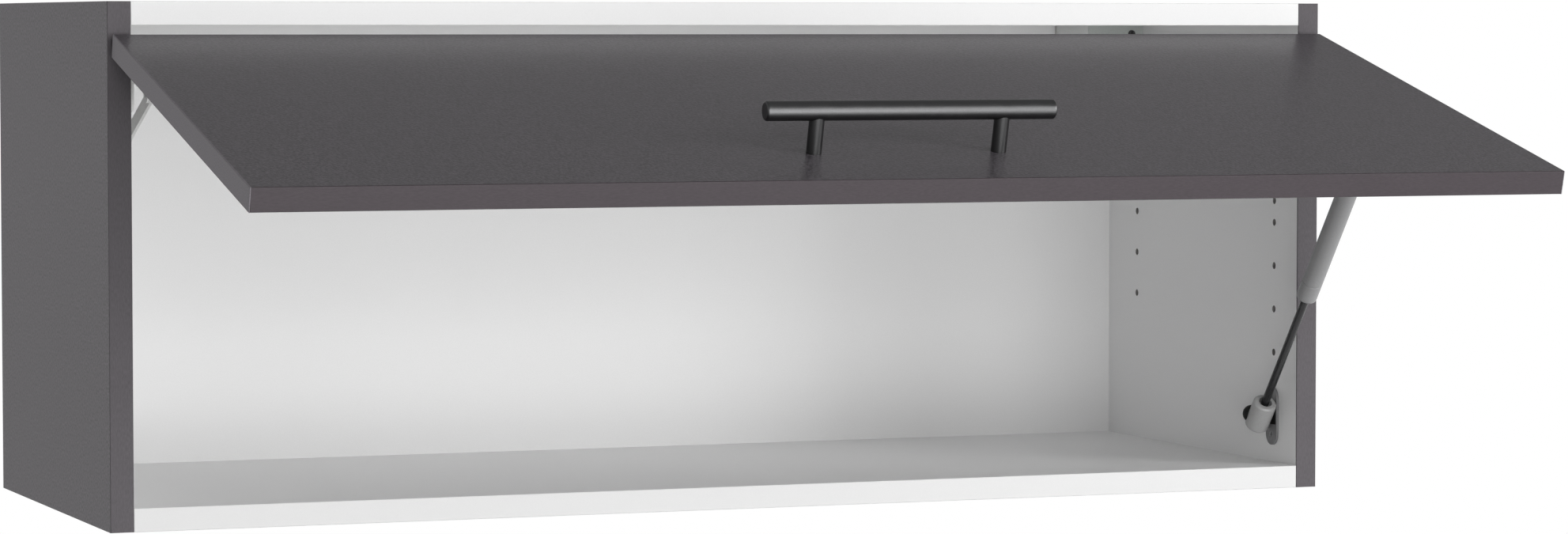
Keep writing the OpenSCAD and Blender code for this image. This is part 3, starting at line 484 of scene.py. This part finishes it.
def eased(node, width, steps=2, outer=None, finishes=None, paint=None):
    """Stands for a CAD node: the same form with its edges rounded to that width in millimetres.

    outer keeps the rounding to the edges of the face that looks that way. paint gives each
    face the index of one of the finishes, and without finishes the node's slot names its own."""
    solid = bmesh.new()
    solid.from_mesh(nodes[node].data)
    bmesh.ops.remove_doubles(solid, verts=solid.verts, dist=WELD)
    bmesh.ops.dissolve_limit(solid, angle_limit=FLAT, verts=solid.verts, edges=solid.edges)
    solid.normal_update()
    if paint:
        choose = paint(solid)
        for face in solid.faces:
            face.material_index = choose(face)
    edges = sharp_edges(solid)
    if outer is not None:
        chosen = on_end(solid, outer)
        edges = [edge for edge in edges if chosen(edge)]
    bmesh.ops.bevel(solid, geom=edges, offset=width * MM, segments=steps, profile=ROUND_PROFILE,
                    affect="EDGES", clamp_overlap=True)
    mesh = bpy.data.meshes.new(node + "_form")
    solid.to_mesh(mesh)
    solid.free()
    mesh.polygons.foreach_set("use_smooth", [True] * len(mesh.polygons))
    mesh.set_sharp_from_angle(angle=SHARP)
    for finish in finishes or [slot_of[node]]:
        mesh.materials.append(materials[finish])
    piece = bpy.data.objects.new(node + "_form", mesh)
    bpy.context.scene.collection.objects.link(piece)
    weighted = piece.modifiers.new("normals", "WEIGHTED_NORMAL")
    weighted.keep_sharp = True
    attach(piece, body_of[node])
    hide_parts(node)


def paint_side(sign):
    """A side panel's finishes: 0 outside, in front and below, 1 inside, 2 on its sawn rear and
    upper edges, 3 in its bores."""
    def paint(solid):
        dark = [on_end(solid, RIGHT * sign), on_end(solid, FRONT), on_end(solid, -UP)]
        raw = [on_end(solid, -FRONT), on_end(solid, UP)]
        inside = on_end(solid, -RIGHT * sign)

        def choose(face):
            if any(test(face) for test in dark):
                return 0
            if any(test(face) for test in raw):
                return 2
            return 1 if inside(face) else 3
        return choose
    return paint


def paint_faces(direction):
    """0 on the two broad faces across that direction, 1 on everything between them."""
    def paint(solid):
        one, other = on_end(solid, direction), on_end(solid, -direction)
        return lambda face: 0 if one(face) or other(face) else 1
    return paint


def paint_front(solid):
    """0 on the face in front, 1 on the others."""
    front = on_end(solid, FRONT)
    return lambda face: 0 if front(face) else 1


# Rounding of the boards' edges, and of the outer edges of their bands, in millimetres
SIDE_ROUNDING = 0.3
SHELF_ROUNDING = 0.25
BACK_ROUNDING = 0.2
FLAP_ROUNDING = 0.2
BAND_ROUNDING = 0.5
FLAP_BAND_ROUNDING = 0.6
BAND_STEPS = 3


def add_boards():
    side_finishes = ["anthracite_board", "white_board", "raw_chipboard", "board_bore"]
    for side, sign in SIDES.items():
        eased("side_panel_" + side, SIDE_ROUNDING, finishes=side_finishes, paint=paint_side(sign))
        eased("edge_band_" + side, BAND_ROUNDING, BAND_STEPS, outer=FRONT)
        # The flap's end bands take a lighter copy of its edge colour: painted light
        eased("flap_band_" + side, FLAP_BAND_ROUNDING, BAND_STEPS, outer=RIGHT * sign,
              finishes=["flap_edge_side"])
    for board in ("top_panel", "bottom_panel"):
        eased(board, SHELF_ROUNDING, finishes=["white_board", "raw_chipboard"],
              paint=paint_faces(UP))
    eased("back_panel", BACK_ROUNDING, steps=1, finishes=["white_hardboard", "raw_hardboard"],
          paint=paint_front)
    eased("edge_band_top", BAND_ROUNDING, BAND_STEPS, outer=FRONT)
    # The bottom band takes the darker copy of the white edge: painted shade
    eased("edge_band_bottom", BAND_ROUNDING, BAND_STEPS, outer=FRONT, finishes=["white_edge_low"])
    eased("flap_panel", FLAP_ROUNDING, finishes=["flap_front", "raw_chipboard"],
          paint=paint_faces(FLAP_OUT))
    eased("flap_band_hinge_edge", FLAP_BAND_ROUNDING, BAND_STEPS, outer=-FLAP_DOWN)
    eased("flap_band_free_edge", FLAP_BAND_ROUNDING, BAND_STEPS, outer=FLAP_DOWN)


# Rounding of each fitting's edges in millimetres, and its number of steps
ROUNDING = {
    "hanger_housing": (0.8, 3),
    "hanger_screws": (0.4, 2),
    "hanger_hook": (0.4, 2),
    "hinge_plate": (0.4, 2),
    "hinge_fixed_pins": (0.45, 3),
    "front_link": (0.4, 2),
    "rear_link": (0.4, 2),
    "hinge_tab": (0.4, 2),
    "hinge_tab_pins": (0.4, 3),
    "hinge_plate_screws": (0.2, 1),
    "hinge_tab_screws": (0.2, 1),
    "cam_locks": (0.25, 2),
    "flap_bumpers": (1.1, 4),
    "handle_bar": (0.8, 3),
    "handle_post": (0.25, 2),
    "handle_screws": (0.3, 2),
    "strut_side_bracket": (0.35, 2),
    "strut_side_screws": (0.2, 1),
    "strut_lower_pin": (0.15, 1),
    "strut_lock_button": (0.3, 2),
    "strut_lower_socket": (0.4, 2),
    "strut_rod": (0.3, 2),
    "strut_tube": (0.35, 2),
    "strut_guide_cap": (0.3, 2),
    "strut_upper_socket": (0.4, 2),
    "strut_upper_pin": (0.4, 2),
    "strut_flap_bracket": (0.35, 2),
    "strut_flap_screws": (0.2, 1),
}

# Fittings whose finish differs from their slot's, and what paints their faces
OWN_FINISHES = {
    # The hanger's front keeps its grey plastic; its other faces take the lighter copy: painted
    # light
    "hanger_housing": (["grey_plastic", "pale_plastic"], paint_front),
    # The posts take the darker copy of the bar's black: painted shade
    "handle_post": (["handle_post_black"], None),
    "strut_lower_socket": (["socket_grey"], None),
    "strut_upper_socket": (["socket_grey"], None),
}


def add_fittings():
    for name, (width, steps) in ROUNDING.items():
        finishes, paint = OWN_FINISHES.get(name, (None, None))
        for node in (name, name + "_left", name + "_right"):
            if node in nodes:
                eased(node, width, steps, finishes=finishes, paint=paint)


# ---------------------------------------------------------------- build

add_camera()
add_world()
add_floor()
for light in LIGHTS:
    area_light(*light)
materials = {name: make(name, **settings) for name, (make, settings) in FINISHES.items()}
# Dowels, cam bolts, piston and seal keep their CAD form, so every node gets its slot's finish
for name, piece in nodes.items():
    piece.data.materials.clear()
    piece.data.materials.append(materials[slot_of[name]])
add_boards()
add_fittings()

view = bpy.context.scene.view_settings
view.view_transform = "Standard"
